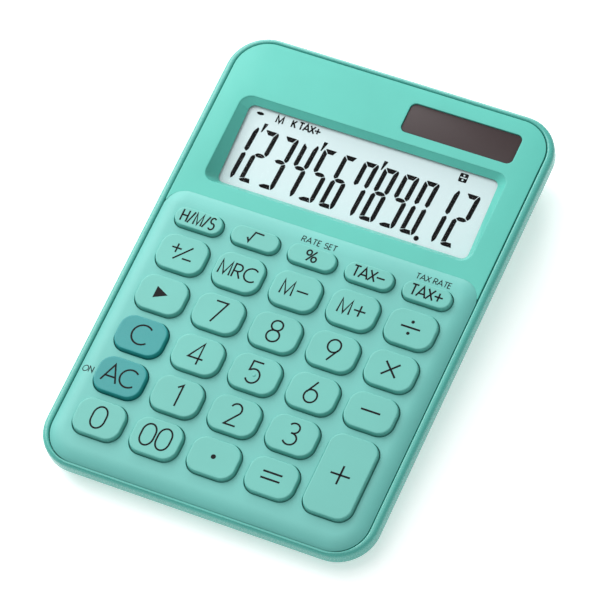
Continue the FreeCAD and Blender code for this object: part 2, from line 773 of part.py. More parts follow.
def make_battery():
    """The button cell, its two contacts, the cover and the cover's screw."""
    centre = [("battery_x", "battery_y")]
    screw_spot = [("cover_screw_x", "battery_y")]
    bottom = "foot_height + cover_thickness + battery_gap"

    sizes = ("cover_width - 2 * cover_fit", "cover_depth - 2 * cover_fit", "cover_corner - cover_fit")
    where = {"placement": TABLE, "x": "cover_x", "y": "battery_y"}
    cover = make_plate("battery_cover", *sizes, "cover_thickness", "foot_height + cover_thickness", **where)
    hole = circles(cover, "screw_radius + hole_gap", screw_spot, height="foot_height")
    pocket(cover, hole, "cover_thickness + overshoot", upward=True)
    sink = circles(cover, "screw_head_radius + screw_gap", screw_spot, height="foot_height")
    pocket(cover, sink, "cover_sink", upward=True)

    cell = new_body("battery", TABLE)
    pad(cell, circles(cell, "battery_radius", centre, height=bottom), "battery_height - cell_step")
    step = f"{bottom} + battery_height - cell_step"
    pad(cell, circles(cell, "battery_radius - cell_rim", centre, height=step), "cell_step")

    negative = new_body("battery_contact_minus", TABLE)
    disc = circles(negative, "contact_radius", centre, height="well_top - contact_thickness")
    pad(negative, disc, "contact_thickness")
    touch = f"({bottom} + battery_height + touch_gap)"
    spring = circles(negative, "spring_radius", centre, height=touch)
    pad(negative, spring, f"well_top - contact_thickness / 2 - {touch}")
    pin = circles(negative, "pin_radius", centre, height="well_top - contact_thickness / 2")
    pad(negative, pin, "pin_rise + contact_thickness / 2")

    positive = new_body("battery_contact_plus", TABLE)
    side = ("battery_x - well_radius + battery_gap", "battery_y")
    blade = rectangle(positive, "blade_thickness", "blade_width", "seam", *side, height=bottom)
    pad(positive, blade, "blade_height")

    screw = new_body("battery_cover_screw", TABLE)
    head_bottom = "foot_height - cover_head_drop"
    pad(screw, circles(screw, "screw_head_radius", screw_spot, height=head_bottom), "cover_head")
    pad(screw, circles(screw, "screw_radius", screw_spot, height="foot_height"), "cover_screw_length")


def make_screws():
    """The case screws and the smaller board screws, each set one group of equal solids."""
    case = new_body("case_screws")
    case.AllowCompound = True
    places = case_screw_places()
    pad(case, circles(case, "screw_head_radius", places, height="screw_seat"), "screw_head", upward=False)
    pad(case, circles(case, "screw_radius", places, height="screw_seat"), "screw_tip - screw_seat")
    board = new_body("board_screws")
    board.AllowCompound = True
    places = [screw_place(point) for point in BOARD_SCREWS]
    under = "sheet_top - sheet_thickness - board_thickness"
    pad(board, circles(board, "board_head_radius", places, height=under), "board_head", upward=False)
    threads = circles(board, "board_screw_radius", places, height=under)
    pad(board, threads, "board_thickness + board_screw_grip")


def make_feet():
    """Two rubber discs at the front and two at the rear, stuck to the underside."""
    for name, y in (("front_feet", "front_foot_y"), ("rear_feet", "rear_foot_y")):
        body = new_body(name, TABLE)
        body.AllowCompound = True
        places = [("foot_x", y), ("-foot_x", y)]
        pad(body, circles(body, "foot_radius", places), "foot_height")
        doc.recompute()
        round_edges(body, "foot_bend", level_edges(body.Tip.Shape, 0))


def make_label():
    """The plain rating label stuck to the underside."""
    sizes = ("label_width", "label_depth", "label_corner", "label_thickness")
    make_plate("rating_label", *sizes, "foot_height", TABLE, y="label_y")


def bent_path(points):
    """Straight runs joined by tangent arcs, each arc as large as its two runs allow."""
    corners = [FreeCAD.Vector(*point) for point in points]
    edges = []
    start = corners[0]
    for before, corner, after in zip(corners, corners[1:], corners[2:]):
        back, ahead = before - corner, after - corner
        reach = 0.45 * min(back.Length, ahead.Length)
        half = back.getAngle(ahead) / 2
        bend = reach * math.tan(half)
        back.normalize()
        ahead.normalize()
        middle = corner + (back + ahead).normalize() * (bend / math.sin(half) - bend)
        edges.append(Part.LineSegment(start, corner + back * reach).toShape())
        edges.append(Part.Arc(corner + back * reach, middle, corner + ahead * reach).toShape())
        start = corner + ahead * reach
    edges.append(Part.LineSegment(start, corners[-1]).toShape())
    return Part.Wire(edges)


def sweep(points, section, area):
    """A section drawn square to the first run and carried along the bent path."""
    path = bent_path(points)
    solid = path.makePipeShell([section], True, True)
    assert abs(solid.Volume - area * path.Length) < 0.01 * solid.Volume, "the sweep lost volume"
    return solid


def make_leads():
    """Two pairs of insulated wires: from the solar cell and from the battery to the board."""
    radius = value("lead_radius")
    end = value("sheet_top - sheet_thickness - board_thickness - lead_gap")
    routes = {
        "solar_leads": [
            [(8.1, 61.3, -2.05), (8.1, 61.3, -7), (8, 57, -11), (8.5, 48, -12), (9, 38, -12.6),
             (9.5, 28, -12.8), (10, 19, -12), (10, 9.4, -10), (10, 9.4, end)],
            [(8.1, 64.3, -2.05), (8.1, 64.3, -7.5), (9.5, 59.5, -11.2), (11, 49, -12), (12, 38.5, -12.6),
             (12.5, 28, -12.8), (13, 19, -12), (13, 9.4, -10), (13, 9.4, end)],
        ],
        "battery_leads": [
            [(-4.5, 49.3, -10.3), (-4.5, 49.3, -8), (-5, 44, -8.6), (-6, 34, -11), (-7, 24, -12),
             (-7.5, 15, -11.2), (-7.5, 9.4, -9.6), (-7.5, 9.4, end)],
            [(-10.6, 49.3, -10.1), (-10.6, 49.3, -8), (-10.7, 44, -8.8), (-10.9, 34, -11.2),
             (-10.8, 24, -12.2), (-10.5, 15, -11.2), (-10.5, 9.4, -9.6), (-10.5, 9.4, end)],
        ],
    }
    for name, pair in routes.items():
        wires = doc.addObject("Part::Feature", f"wire_{name}")
        tubes = []
        for route in pair:
            first, second = FreeCAD.Vector(*route[0]), FreeCAD.Vector(*route[1])
            ring = Part.Wire([Part.Circle(first, second - first, radius).toShape()])
            tubes.append(sweep(route, ring, math.pi * radius**2))
        wires.Shape = Part.makeCompound(tubes)
        keep(wires, name, FACE)


def make_ribbon():
    """The thin film that joins the glass ledge to the board, bent in one gentle S."""
    half, thick = value("ribbon_width") / 2, value("ribbon_thickness")
    top = value("sheet_top - sheet_thickness - board_thickness") - thick
    route = [(0, 26.9, -6.57), (0, 21.5, -7.18), (0, 17.4, top), (0, 11.5, top)]
    first, second = FreeCAD.Vector(*route[0]), FreeCAD.Vector(*route[1])
    across = FreeCAD.Vector(half, 0, 0)
    lift = (second - first).cross(FreeCAD.Vector(1, 0, 0)).normalize() * (thick / 2)
    spots = [first - across - lift, first + across - lift, first + across + lift, first - across + lift]
    ribbon = doc.addObject("Part::Feature", "film")
    ribbon.Shape = sweep(route, Part.makePolygon([*spots, spots[0]]), 2 * half * thick)
    keep(ribbon, "heat_seal_ribbon", FACE)


for key in KEYS:
    make_key(*key)
make_upper_case()
make_keyboard_panel()
make_display_panel()
make_display()
make_solar()
make_keypad()
make_board()
make_lower_case()
make_battery()
make_screws()
make_feet()
make_label()
make_leads()
make_ribbon()
doc.recompute()

for item in doc.Objects:
    assert not {"Invalid", "Error"} & set(item.State), f"{item.Name} ({item.Label}) failed: {item.State}"
for item in doc.Objects:
    if item.TypeId == "PartDesign::Pocket":
        assert item.Shape.Volume < item.BaseFeature.Shape.Volume - 0.001, f"{item.Name} cut nothing"
os.makedirs("parts", exist_ok=True)
for piece in pieces:
    assert not piece.Shape.isNull() and piece.Shape.isValid(), f"{piece.Label} has no valid shape"
    piece.Shape.exportStep(f"parts/{piece.Label}.step")
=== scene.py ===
import bmesh
import bpy
import json
import math
from mathutils import Matrix, Vector


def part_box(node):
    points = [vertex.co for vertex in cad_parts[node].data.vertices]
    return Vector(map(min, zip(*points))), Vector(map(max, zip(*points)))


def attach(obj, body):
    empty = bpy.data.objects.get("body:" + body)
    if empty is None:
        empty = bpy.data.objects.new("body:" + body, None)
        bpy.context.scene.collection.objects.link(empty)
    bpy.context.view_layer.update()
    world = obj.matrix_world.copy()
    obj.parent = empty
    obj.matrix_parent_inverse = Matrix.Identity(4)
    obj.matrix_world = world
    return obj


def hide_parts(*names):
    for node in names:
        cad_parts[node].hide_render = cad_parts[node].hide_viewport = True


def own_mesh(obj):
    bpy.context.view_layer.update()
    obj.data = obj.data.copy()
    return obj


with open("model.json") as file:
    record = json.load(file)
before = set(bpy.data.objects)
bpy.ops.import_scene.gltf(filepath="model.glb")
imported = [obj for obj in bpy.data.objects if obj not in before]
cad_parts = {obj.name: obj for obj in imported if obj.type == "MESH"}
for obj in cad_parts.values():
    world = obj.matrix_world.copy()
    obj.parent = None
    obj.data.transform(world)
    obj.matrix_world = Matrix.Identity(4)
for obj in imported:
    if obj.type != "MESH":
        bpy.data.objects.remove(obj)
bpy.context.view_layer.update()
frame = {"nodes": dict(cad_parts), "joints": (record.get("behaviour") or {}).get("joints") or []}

# ---------------------------------------------------------------- upper case
# The rim of the housing: one moulding in mint ABS with a rounded lip and a sunk deck that the
# two front panels are dropped into. Four screws from below pull it down on the tray.
# A key is pressed square to the tilted face, so its joint's axis gives the tilt.
MM = 0.001
press = Vector(frame["joints"][0]["axis"])
tilt = math.atan2(press.y, -press.z)
rim_top = max(-press.dot(corner.co) for corner in frame["nodes"]["upper_case"].data.vertices)
FACE = (
    Matrix.Translation((0, 0, rim_top / math.cos(tilt)))
    @ Matrix.Rotation(tilt, 4, "X")
    @ Matrix.Scale(MM, 4)
)
CORNER_STEPS = 12


def face_box(node):
    """A CAD node's lowest and highest corner in the face frame, in millimetres."""
    to_face = FACE.inverted()
    points = [to_face @ corner.co for corner in frame["nodes"][node].data.vertices]
    return [Vector(map(pick, *points)) for pick in (min, max)]


def outline(shape, growth=0):
    """Anticlockwise points of a rounded rectangle (width, depth, corner, x, y), grown all round.
    A sixth number is the corner at the low side, where it differs."""
    width, depth, corner, x, y, *low_corner = shape
    low_corner = low_corner[0] if low_corner else corner
    points = []
    for quarter in range(4):
        bend = corner if quarter < 2 else low_corner
        across = (1 if quarter in (0, 3) else -1) * (width / 2 - bend)
        along = (1 if quarter < 2 else -1) * (depth / 2 - bend)
        for step in range(CORNER_STEPS + 1):
            turn = (quarter + step / CORNER_STEPS) * math.pi / 2
            reach = bend + growth
            points.append((x + across + reach * math.cos(turn), y + along + reach * math.sin(turn)))
    return points


def ring(mesh, points, height):
    """A closed row of vertices at one height, or at the height a function gives for each point."""
    lift = height if callable(height) else lambda x, y: height
    return [mesh.verts.new((x, y, lift(x, y))) for x, y in points]


def skin(mesh, rings, closed=False):
    """Strips of faces from each ring to the next, and from the last to the first if closed."""
    for first, second in zip(rings, rings[1:] + (rings[:1] if closed else [])):
        for i in range(len(first)):
            mesh.faces.new((first[i - 1], first[i], second[i], second[i - 1]))


def moulded(name, colour, gloss, drift=0.04, grain=0.3, scale=2600):
    """A finish with a fine grain, a slow drift of its shade and a slightly uneven gloss."""
    material = bpy.data.materials.new(name)
    material.use_nodes = True
    nodes, links = material.node_tree.nodes, material.node_tree.links
    shader = nodes["Principled BSDF"]
    place = nodes.new("ShaderNodeTexCoord")
    cloud = nodes.new("ShaderNodeTexNoise")
    cloud.inputs["Scale"].default_value = 45
    cloud.inputs["Detail"].default_value = 3
    links.new(place.outputs["Object"], cloud.inputs["Vector"])
    shades = nodes.new("ShaderNodeValToRGB")
    for stop, share in zip(shades.color_ramp.elements, (1 - drift, 1 + drift)):
        stop.color = [min(1, channel * share) for channel in colour[:3]] + [1]
    shades.color_ramp.elements[0].position = 0.3
    shades.color_ramp.elements[1].position = 0.7
    links.new(cloud.outputs["Fac"], shades.inputs["Fac"])
    links.new(shades.outputs["Color"], shader.inputs["Base Color"])
    sparks = nodes.new("ShaderNodeTexNoise")
    sparks.inputs["Scale"].default_value = scale
    sparks.inputs["Detail"].default_value = 2
    links.new(place.outputs["Object"], sparks.inputs["Vector"])
    dull = nodes.new("ShaderNodeMapRange")
    dull.inputs["To Min"].default_value = gloss - 0.05
    dull.inputs["To Max"].default_value = gloss + 0.05
    links.new(sparks.outputs["Fac"], dull.inputs["Value"])
    links.new(dull.outputs["Result"], shader.inputs["Roughness"])
    relief = nodes.new("ShaderNodeBump")
    relief.inputs["Strength"].default_value = grain
    relief.inputs["Distance"].default_value = 0.00002
    links.new(sparks.outputs["Fac"], relief.inputs["Height"])
    links.new(relief.outputs["Normal"], shader.inputs["Normal"])
    shader.inputs["IOR"].default_value = 1.48
    return material


def tune(finish, socket, number):
    """Set a number of a finish that is the same all over."""
    finish.node_tree.nodes["Principled BSDF"].inputs[socket].default_value = number


def tint(code):
    """The linear colour of a six-figure hex code."""
    shares = [int(code[i : i + 2], 16) / 255 for i in (0, 2, 4)]
    return [s / 12.92 if s < 0.04045 else ((s + 0.055) / 1.055) ** 2.4 for s in shares]


def make_piece(name, mesh, finish, place=FACE, body="case", nodes=(), crease=32):
    """Turn a mesh in millimetres into a shown piece that rides on a body and stands for CAD nodes."""
    mesh.transform(place)
    bmesh.ops.recalc_face_normals(mesh, faces=mesh.faces)
    data = bpy.data.meshes.new(name)
    mesh.to_mesh(data)
    mesh.free()
    data.polygons.foreach_set("use_smooth", [True] * len(data.polygons))
    data.set_sharp_from_angle(angle=math.radians(crease))
    data.materials.append(finish)
    thing = bpy.data.objects.new(name, data)
    bpy.context.scene.collection.objects.link(thing)
    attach(thing, body)
    if nodes:
        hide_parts(*nodes)
    return thing


def quarter_round(radius, steps=5):
    """Steps along a quarter round as (how far in, how far down from the top), from the side inwards."""
    turns = [step / steps * math.pi / 2 for step in range(steps + 1)]
    return [(radius * (1 - math.cos(turn)), radius * (1 - math.sin(turn))) for turn in turns]


case_low, case_high = face_box("upper_case")
CASE_CORNER = 12.3
CASE = (case_high.x - case_low.x, case_high.y - case_low.y, CASE_CORNER, 0, 0)
DECK = (100.5, 146.5, 10.4, 0, -0.2)
RIM_DROP, RIM_ROUND, RIM_STEPS, RIM_INNER_ROUND, DECK_DROP, DECK_LEDGE = 4, 1.3, 8, 0.6, 2.4, 2.8
mint = moulded("mint_case_plastic", tint("4aa297"), 0.27)

rim = bmesh.new()
rows = [ring(rim, outline(CASE), -RIM_DROP)]
for inward, down in quarter_round(RIM_ROUND, RIM_STEPS):
    rows.append(ring(rim, outline(CASE, -inward), -down))
for inward, down in reversed(quarter_round(RIM_INNER_ROUND)):
    rows.append(ring(rim, outline(DECK, inward), -down))
rows.append(ring(rim, outline(DECK), -DECK_DROP))
rows.append(ring(rim, outline(DECK, -DECK_LEDGE), -DECK_DROP))
rows.append(ring(rim, outline(DECK, -DECK_LEDGE), -RIM_DROP))
skin(rim, rows, closed=True)
make_piece("case_rim", rim, mint, nodes=["upper_case"])

# ---------------------------------------------------------------- keyboard panel
# A softly pillowed cover in a finer matt mint, clipped into the deck. Its face swells up from a
# low edge, and twenty-nine rounded holes let the keys through.
KEY_DEPTH, SMALL_KEY_SHARE, KEY_CORNER, SMALL_CORNER, KEY_GAP, KEY_LIP = 11.6, 0.8, 4.2, 3, 0.3, 1
PAD_TOP, PAD_ROOF, PAD_FALL, PAD_EDGE_DROP, PAD_REAR_DROP = 1.2, 2.2, 4.9, 1.6, 1.2
HOLE_ROUND, HOLE_COLLAR, PAD_LEDGE = 0.12, 0.2, 2.5
REAR_BLEND = (11, 17)
pad_low, pad_high = face_box("keyboard_panel")
PAD_CORNER, PAD_LOW_CORNER, PAD_ROWS, HOLE_STEPS = 6.5, 10.15, 12, 4
PAD_MIDDLE = (0, (pad_high.y + pad_low.y) / 2)
PAD = (pad_high.x - pad_low.x, pad_high.y - pad_low.y, PAD_CORNER, *PAD_MIDDLE, PAD_LOW_CORNER)


def key_shape(node):
    """The rounded outline of a key's skirt, read from its CAD solid without the hidden side lips."""
    low, high = face_box(node)
    depth = high.y - low.y
    corner = SMALL_CORNER if depth < KEY_DEPTH * SMALL_KEY_SHARE else KEY_CORNER
    return high.x - low.x - 2 * KEY_LIP, depth, corner, (low.x + high.x) / 2, (low.y + high.y) / 2


def pad_height(x, y):
    """The height of the pillowed face above a point of the panel."""
    width, depth, corner, middle_x, middle_y, low_corner = PAD
    bend = corner if y > middle_y else low_corner
    across = abs(x - middle_x) - width / 2 + bend
    along = abs(y - middle_y) - depth / 2 + bend
    outside = math.hypot(max(across, 0), max(along, 0)) + min(max(across, along), 0)
    inside = min(1, (bend - outside) / PAD_FALL)
    share = min(1, max(0, (y - REAR_BLEND[0]) / (REAR_BLEND[1] - REAR_BLEND[0])))
    drop = PAD_EDGE_DROP + (PAD_REAR_DROP - PAD_EDGE_DROP) * share
    return PAD_TOP - drop * (1 - inside) ** 2


def fill(mesh, *rings):
    """Flat faces between a ring and the rings of its holes."""
    pairs = [(row[i - 1], row[i]) for row in rings for i in range(len(row))]
    edges = [mesh.edges.get(pair) or mesh.edges.new(pair) for pair in pairs]
    bmesh.ops.triangle_fill(mesh, use_beauty=True, edges=edges)


key_nodes = [node for node in frame["nodes"] if node.startswith("key_")]
pad_mint = moulded("keyboard_mint_plastic", tint("61afa7"), 0.5)
pad = bmesh.new()
rows = [ring(pad, outline(PAD, -PAD_LEDGE), PAD_TOP - PAD_ROOF)]
rows.append(ring(pad, outline(PAD, -PAD_LEDGE), -DECK_DROP))
rows.append(ring(pad, outline(PAD), -DECK_DROP))
for step in range(PAD_ROWS + 1):
    rows.append(ring(pad, outline(PAD, -PAD_FALL * step / PAD_ROWS), pad_height))
skin(pad, rows)
hole_tops, hole_ends = [], []
for node in key_nodes:
    hole = key_shape(node)
    edge = [ring(pad, outline(hole, KEY_GAP + HOLE_ROUND + HOLE_COLLAR), PAD_TOP)]
    for inward, down in reversed(quarter_round(HOLE_ROUND, HOLE_STEPS)):
        edge.append(ring(pad, outline(hole, KEY_GAP + inward), PAD_TOP - down))
    edge.append(ring(pad, outline(hole, KEY_GAP), PAD_TOP - PAD_ROOF))
    skin(pad, edge)
    hole_tops.append(edge[0])
    hole_ends.append(edge[-1])
fill(pad, rows[-1], *hole_tops)
fill(pad, rows[0], *hole_ends)
make_piece("keyboard_cover", pad, pad_mint, nodes=["keyboard_panel"])

# ---------------------------------------------------------------- display panel
# The flat, slightly glossier top panel. Sloped walls run down to the tilted display opening, and
# a shallow seat at the rear holds the solar window. Its front edge hugs the pillowed keyboard.
PANEL_TIP, PANEL_EDGE_ROUND, PANEL_PAD_GAP = 14, 0.2, 0.02
MOUTH = (85.6, 30.4, 3.5, 0, 39.1)
MOUTH_ROUND, MOUTH_COLLAR = 0.25, 0.3
VIEW_OPENING = (80.4, 25.96, 2, 0, 0)
VIEW_TILT = math.radians(6.4)
VIEW = Matrix.Translation((0, 39.7, -3.45)) @ Matrix.Rotation(VIEW_TILT, 4, "X")
SURROUND = (89.2, 34.6, 4, 0, 39.1)
SOLAR_SEAT = (35.7, 10.1, 1.9, 23.85, 62.85)
SOLAR_SHAFT = (33.3, 7.7, 0.8, 23.85, 62.85)
SEAT_DROP, SEAT_ROUND = 0.9, 0.15
panel_high = face_box("display_panel")[1]
PANEL_CORNER = 10.15


def panel_outline(inward=0):
    """The panel's edge: round rear corners, and a front edge that follows the keyboard's top corners."""
    half, rear = panel_high.x - inward, panel_high.y - inward
    reach = PAD[2] + PANEL_PAD_GAP
    middle_x, middle_y = PAD[0] / 2 - PAD[2], pad_high.y - PAD[2]
    start = math.asin((PANEL_TIP - middle_y) / reach)
    points = [(half, PANEL_TIP)]
    for side in (1, -1):
        for step in range(CORNER_STEPS + 1):
            turn = step / CORNER_STEPS * math.pi / 2
            sweep = turn if side > 0 else math.pi / 2 - turn
            bend = PANEL_CORNER - inward
            points.append(
                (side * (half - bend + bend * math.cos(sweep)), rear - bend + bend * math.sin(sweep))
            )
    points.append((-half, PANEL_TIP))
    for side in (-1, 1):
        for step in range(CORNER_STEPS + 1):
            share = step / CORNER_STEPS if side < 0 else 1 - step / CORNER_STEPS
            turn = start + (math.pi / 2 - start) * share
            points.append((side * (middle_x + reach * math.cos(turn)), middle_y + reach * math.sin(turn)))
    return points


def view_height(x, y):
    """The height of the display's tilted front plane above a point of the face."""
    return VIEW.translation.z + (y - VIEW.translation.y) * math.tan(VIEW_TILT)


panel_mint = moulded("display_panel_mint_plastic", tint("57b3a6"), 0.4, grain=0.15)
tune(panel_mint, "Specular IOR Level", 0.25)
panel = bmesh.new()
edge = [ring(panel, panel_outline(), -DECK_DROP)]
for inward, down in quarter_round(PANEL_EDGE_ROUND, 3):
    edge.append(ring(panel, panel_outline(inward), -down))
skin(panel, edge)
funnel = [ring(panel, outline(MOUTH, MOUTH_ROUND + MOUTH_COLLAR), 0)]
for inward, down in reversed(quarter_round(MOUTH_ROUND, 4)):
    funnel.append(ring(panel, outline(MOUTH, inward), -down))
funnel.append(ring(panel, outline(VIEW_OPENING), 0))
for corner in funnel[-1]:
    corner.co = VIEW @ corner.co
funnel.append(ring(panel, outline(SURROUND), view_height))
funnel.append(ring(panel, outline(SURROUND), -DECK_DROP))
skin(panel, funnel)
seat = [ring(panel, outline(SOLAR_SEAT, SEAT_ROUND + MOUTH_COLLAR), 0)]
for inward, down in reversed(quarter_round(SEAT_ROUND, 3)):
    seat.append(ring(panel, outline(SOLAR_SEAT, inward), -down))
seat.append(ring(panel, outline(SOLAR_SEAT), -SEAT_DROP))
seat.append(ring(panel, outline(SOLAR_SHAFT), -SEAT_DROP))
seat.append(ring(panel, outline(SOLAR_SHAFT), -DECK_DROP))
skin(panel, seat)
fill(panel, edge[-1], funnel[0], seat[0])
fill(panel, edge[0], funnel[-1], seat[-1])
make_piece("display_cover", panel, panel_mint, nodes=["display_panel"], crease=24)

# ---------------------------------------------------------------- keys
# Twenty-nine caps moulded in matt mint, two of them in teal, with drafted walls, a small round
# along the flat top and lips under the panel that stop them from lifting out.
KEY_DRAFT, KEY_EDGE, FLANGE_TOP, FLANGE_THICKNESS, KEY_WALL = math.radians(7), 0.36, -1.2, 0.8, 1.2
KEY_ROOF, LIP_STEP, TOP_INSET, EDGE_STEPS, STEM = 1.8, 0.3, 0.3, 5, (3, 3, 1.45)
key_top, key_end = face_box("key_4")[1].z, face_box("key_4")[0].z
NUB, NUB_CROWN, NUB_HEIGHT, NUB_ROOT, NUB_PLACE = (0.98, 0.98, 0.48), 0.47, 0.2, 0.1, (0.1, -0.6)
key_mint = moulded("mint_key_plastic", tint("5eada3"), 0.46)
key_teal = moulded("teal_key_plastic", tint("168888"), 0.46)


def add_cap(mesh, shape):
    """One key cap, hollow below, with its stem."""
    x, y = shape[3:5]
    lips = (shape[0] + 2 * KEY_LIP, shape[1] + LIP_STEP, *shape[2:])
    roof = key_top - KEY_ROOF
    stem = (*STEM, x, y)
    rows = [ring(mesh, outline(stem), key_end), ring(mesh, outline(stem), roof)]
    rows.append(ring(mesh, outline(shape, -KEY_WALL), roof))
    rows.append(ring(mesh, outline(shape, -KEY_WALL), FLANGE_TOP - FLANGE_THICKNESS))
    rows.append(ring(mesh, outline(lips), FLANGE_TOP - FLANGE_THICKNESS))
    rows.append(ring(mesh, outline(lips), FLANGE_TOP))
    rows.append(ring(mesh, outline(shape), FLANGE_TOP))
    rows.append(ring(mesh, outline(shape), PAD_TOP))
    bend_height = key_top - KEY_EDGE
    reach = (bend_height + KEY_EDGE * math.sin(KEY_DRAFT) - PAD_TOP) * math.tan(KEY_DRAFT)
    reach += KEY_EDGE * math.cos(KEY_DRAFT)
    for step in range(EDGE_STEPS + 1):
        turn = KEY_DRAFT + (math.pi / 2 - KEY_DRAFT) * step / EDGE_STEPS
        growth = KEY_EDGE * math.cos(turn) - reach
        rows.append(ring(mesh, outline(shape, growth), bend_height + KEY_EDGE * math.sin(turn)))
    rows.append(ring(mesh, outline(shape, -reach - TOP_INSET), key_top))
    skin(mesh, rows)
    mesh.faces.new(rows[0])
    mesh.faces.new(rows[-1])


def add_nub(mesh, x, y):
    """The raised locating dot on the middle key."""
    shape = (*NUB, x, y)
    rows = [ring(mesh, outline(shape), key_top - NUB_ROOT)]
    for inward, down in quarter_round(1, 4)[:-1]:
        rows.append(ring(mesh, outline(shape, -inward * NUB_CROWN), key_top + NUB_HEIGHT * (1 - down)))
    skin(mesh, rows)
    mesh.faces.new(rows[0])
    mesh.faces.new(rows[-1])


for node in key_nodes:
    shape = key_shape(node)
    cap = bmesh.new()
    add_cap(cap, shape)
    if node == "key_5":
        add_nub(cap, shape[3] + NUB_PLACE[0], shape[4] + NUB_PLACE[1])
    teal = node in ("key_clear", "key_all_clear")
    finish, slot = (key_teal, "key_teal") if teal else (key_mint, "key_mint")
    name = node.replace("key_", "cap_")
    make_piece(name, cap, finish, body=f"{node}_body", nodes=[node])

# ---------------------------------------------------------------- legends
# The signs on the keys and the three captions on the panel are printed in a thin layer of black
# ink. Each sign is drawn with a pen of one width, as a closed sliver that sits on the plastic.
INK, INK_ROOT, SAME_PLACE, MITRE_LIMIT, OVAL_STEPS = 0.02, 0.02, 1e-6, 0.4, 24
ink = moulded("printed_black_ink", tint("070708"), 0.6, drift=0.2, grain=0.1)
tune(ink, "Specular IOR Level", 0.15)


def arc(x, y, wide, high, start, end, steps=None):
    """Points of part of an oval, from one angle to another in degrees."""
    steps = steps or max(3, round(abs(end - start) / 12))
    turns = [math.radians(start + (end - start) * i / steps) for i in range(steps + 1)]
    return [(x + wide * math.cos(turn), y + high * math.sin(turn)) for turn in turns]


def oval(x, y, wide, high):
    """Points all round an oval."""
    return arc(x, y, wide, high, 0, 360 - 360 / OVAL_STEPS, OVAL_STEPS - 1)


def circle(x, y, radius):
    """Points all round a circle."""
    return oval(x, y, radius, radius)


# Every sign is a width and its pen paths, with the height of a capital as 1. "m" is a narrow capital.
SIGNS = {
    "0": (0.62, [arc(0.31, 0.62, 0.31, 0.38, 0, 180) + arc(0.31, 0.38, 0.31, 0.38, 180, 360)
                 + [(0.62, 0.62)]]),
    "1": (0.2, [[(0, 0.84), (0.2, 1), (0.2, 0)]]),
    "2": (0.52, [arc(0.26, 0.73, 0.25, 0.27, 160, -28) + [(0.01, 0), (0.52, 0)]]),
    "3": (0.56, [arc(0.27, 0.77, 0.24, 0.23, 150, -80) + [(0.22, 0.54)],
                 [(0.22, 0.54)] + arc(0.27, 0.27, 0.29, 0.27, 82, -150)]),
    "4": (0.66, [[(0.47, 0), (0.47, 1), (0, 0.28), (0.67, 0.28)]]),
    "5": (0.56, [[(0.5, 1), (0.04, 1), (0.02, 0.57)] + arc(0.26, 0.33, 0.3, 0.33, 130, -150)]),
    "6": (0.57, [[(0.36, 1), (0.06, 0.46)] + arc(0.285, 0.3, 0.285, 0.3, 150, 510)]),
    "7": (0.54, [[(0, 1), (0.54, 1), (0.12, 0)]]),
    "8": (0.57, [arc(0.285, 0.765, 0.25, 0.235, 0, 360), arc(0.285, 0.27, 0.285, 0.27, 0, 360)]),
    "9": (0.57, [[(0.21, 0), (0.51, 0.54)] + arc(0.285, 0.7, 0.285, 0.3, -30, 330)]),
    "A": (0.84, [[(0, 0), (0.42, 1), (0.84, 0)], [(0.13, 0.31), (0.71, 0.31)]]),
    "C": (0.86, [arc(0.5, 0.5, 0.5, 0.5, 46, 314)]),
    "E": (0.44, [[(0.44, 1), (0, 1), (0, 0), (0.44, 0)], [(0, 0.52), (0.4, 0.52)]]),
    "H": (0.6, [[(0, 0), (0, 1)], [(0.6, 0), (0.6, 1)], [(0, 0.52), (0.6, 0.52)]]),
    "K": (0.52, [[(0, 0), (0, 1)], [(0.52, 1), (0.04, 0.44)], [(0.18, 0.6), (0.54, 0)]]),
    "M": (0.94, [[(0, 0), (0.05, 1), (0.47, 0.05), (0.89, 1), (0.94, 0)]]),
    "m": (0.8, [[(0, 0), (0.05, 1), (0.4, 0.05), (0.75, 1), (0.8, 0)]]),
    "N": (0.7, [[(0, 0), (0, 1), (0.7, 0), (0.7, 1)]]),
    "O": (1, [arc(0.5, 0.5, 0.5, 0.5, 0, 360)]),
    "R": (0.58, [[(0, 0), (0, 1)] + arc(0.28, 0.74, 0.27, 0.26, 90, -90) + [(0, 0.48)],
                 [(0.27, 0.48), (0.58, 0)]]),
    "S": (0.54, [arc(0.27, 0.755, 0.24, 0.245, 38, 262) + arc(0.27, 0.265, 0.27, 0.265, 82, -146)]),
    "T": (0.62, [[(0, 1), (0.62, 1)], [(0.31, 1), (0.31, 0)]]),
    "X": (0.66, [[(0, 1), (0.66, 0)], [(0.66, 1), (0, 0)]]),
    "/": (0.42, [[(0, -0.02), (0.42, 1.02)]]),
    "-": (0.8, [[(0, 0.48), (0.8, 0.48)]]),
    "+": (0.8, [[(0, 0.48), (0.8, 0.48)], [(0.4, 0.08), (0.4, 0.88)]]),
    "%": (1.06, [arc(0.24, 0.76, 0.21, 0.23, 0, 360), arc(0.82, 0.24, 0.21, 0.23, 0, 360),
                 [(0.2, 0), (0.86, 1)]]),
    " ": (0.3, []),
}


